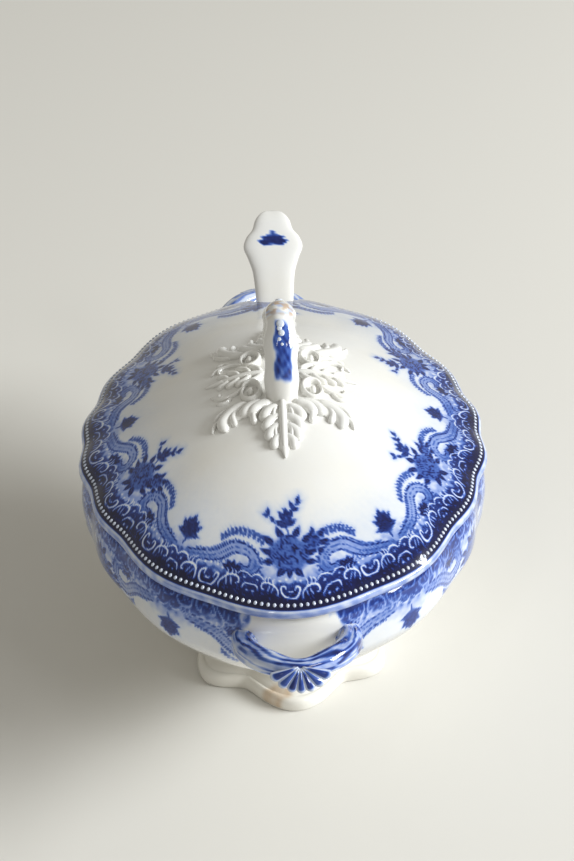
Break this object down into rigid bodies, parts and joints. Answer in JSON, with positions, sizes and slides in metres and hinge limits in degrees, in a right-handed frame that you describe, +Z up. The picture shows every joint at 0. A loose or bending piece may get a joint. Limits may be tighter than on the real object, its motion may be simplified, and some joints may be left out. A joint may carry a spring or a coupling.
{
  "type": "lidded tureen with ladle",
  "caption": "Oval lidded serving tureen on a lobed foot, with looped side handles, a loop finial, blue floral print and a ladle that leaves through a notch in the lid.",
  "frame": {"origin": "centre of the foot on the table", "axes": "+Z up, +Y along the long axis towards the ladle and back handle, +X to the right seen from the front handle"},
  "size_m": [0.1524, 0.2661, 0.143],
  "materials": {
    "bowl_glaze": "glossy white glaze over cobalt blue floral print",
    "foot_glaze": "glossy cream white glaze, faint tan stain",
    "handle_glaze": "glossy glaze with brushed cobalt blue",
    "shell_glaze": "glossy glaze with blue painted flutes",
    "lid_glaze": "glossy white glaze over cobalt blue floral print",
    "finial_glaze": "glossy white glaze, blue brushed stripe, worn top",
    "relief_glaze": "glossy white glaze over raised leaves",
    "ladle_glaze": "glossy white glaze with a small blue leaf"
  },
  "bodies": {
    "tureen": {"bowl": "bowl_glaze", "pedestal_foot": "foot_glaze", "front_handle": "handle_glaze", "back_handle": "handle_glaze", "front_shell": "shell_glaze", "back_shell": "shell_glaze"},
    "lid": {"lid": "lid_glaze", "lid_finial": "finial_glaze", "front_leaf": "relief_glaze", "back_leaf": "relief_glaze", "left_leaf": "relief_glaze", "right_leaf": "relief_glaze"},
    "ladle": {"ladle_bowl": "ladle_glaze", "ladle_handle": "ladle_glaze"}
  },
  "joints": [
    {"name": "ladle_lift", "type": "slide", "parent": "tureen", "child": "ladle", "axis": [0, 0, 1], "range_m": [0, 0.12]},
    {"name": "lid_lift", "type": "slide", "parent": "ladle", "child": "lid", "axis": [0, 0, 1], "range_m": [0, 0.12]}
  ]
}
